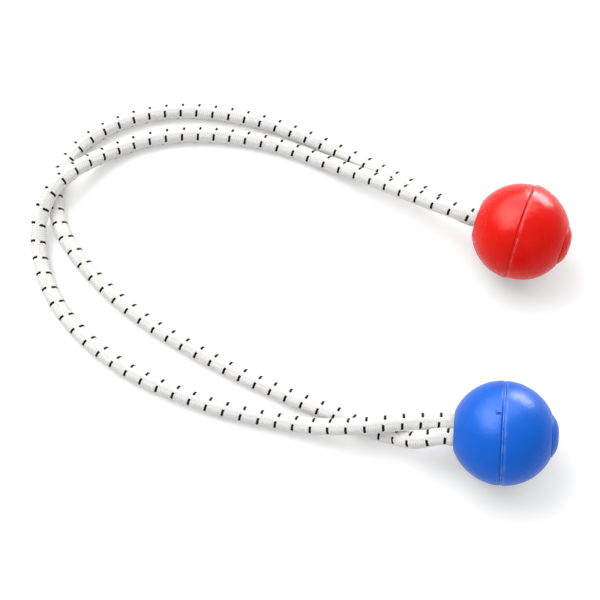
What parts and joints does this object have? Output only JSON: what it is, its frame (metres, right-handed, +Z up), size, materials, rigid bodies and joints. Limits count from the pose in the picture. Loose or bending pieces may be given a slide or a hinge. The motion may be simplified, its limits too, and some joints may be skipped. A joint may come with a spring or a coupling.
{
  "type": "ball bungee",
  "caption": "Elastic tie-down loop of braided shock cord, its cut ends clamped inside a red and a blue plastic ball, for lashing tarpaulins and bundles.",
  "frame": {"origin": "on the resting surface, below the middle of the box round the two balls", "axes": "+Z up from the surface, +Y from the blue ball to the red ball, +X from the loop's far bend towards the balls' caps"},
  "size_m": [0.1691, 0.1351, 0.03],
  "materials": {
    "red_plastic": "semi-gloss moulded, bright red",
    "blue_plastic": "semi-gloss moulded, bright blue",
    "braided_sheath": "tight white polyester braid with black tracer yarn",
    "rubber_core": "bundled latex strands, dull",
    "ferrule_steel": "zinc-plated, pressed"
  },
  "bodies": {
    "cord_bend": {"first_strand_bend": "braided_sheath", "second_strand_bend": "braided_sheath", "first_strand_blue_arm": "braided_sheath", "second_strand_blue_arm": "braided_sheath"},
    "red_arm": {"first_strand_red_arm": "braided_sheath", "second_strand_red_arm": "braided_sheath"},
    "red_hold": {"red_ferrule": "ferrule_steel", "red_first_strand_sheath_end": "braided_sheath", "red_first_strand_core_end": "rubber_core", "red_second_strand_sheath_end": "braided_sheath", "red_second_strand_core_end": "rubber_core"},
    "red_ball": {"red_front_shell": "red_plastic", "red_rear_shell": "red_plastic", "red_end_cap": "red_plastic"},
    "blue_hold": {"blue_ferrule": "ferrule_steel", "blue_first_strand_sheath_end": "braided_sheath", "blue_first_strand_core_end": "rubber_core", "blue_second_strand_sheath_end": "braided_sheath", "blue_second_strand_core_end": "rubber_core"},
    "blue_ball": {"blue_front_shell": "blue_plastic", "blue_rear_shell": "blue_plastic", "blue_end_cap": "blue_plastic"}
  },
  "joints": [
    {"name": "cord_flex", "type": "hinge", "parent": "cord_bend", "child": "red_arm", "pos_m": [-0.1434, 0.04, 0.005], "axis": [0, 0, 1], "range_deg": [-5, 90], "stiffness_Nm_per_rad": 0.004, "deforming": ["first_strand_bend", "second_strand_bend"]},
    {"name": "red_stretch", "type": "slide", "parent": "red_arm", "child": "red_hold", "axis": [0.9304, -0.3665, 0], "range_m": [0, 0.06], "stiffness_N_per_m": 400, "deforming": ["first_strand_red_arm", "second_strand_red_arm"]},
    {"name": "blue_stretch", "type": "slide", "parent": "cord_bend", "child": "blue_hold", "axis": [0.9925, -0.1219, 0], "range_m": [0, 0.05], "stiffness_N_per_m": 400, "deforming": ["first_strand_blue_arm", "second_strand_blue_arm"]},
    {"name": "red_ball_turn", "type": "hinge", "parent": "red_hold", "child": "red_ball", "pos_m": [0.0045, 0.0325, 0.015], "axis": [0.9291, -0.366, 0.0523], "continuous": true},
    {"name": "blue_ball_turn", "type": "hinge", "parent": "blue_hold", "child": "blue_ball", "pos_m": [-0.0056, -0.0325, 0.015], "axis": [0.9829, -0.1207, 0.1392], "continuous": true}
  ]
}
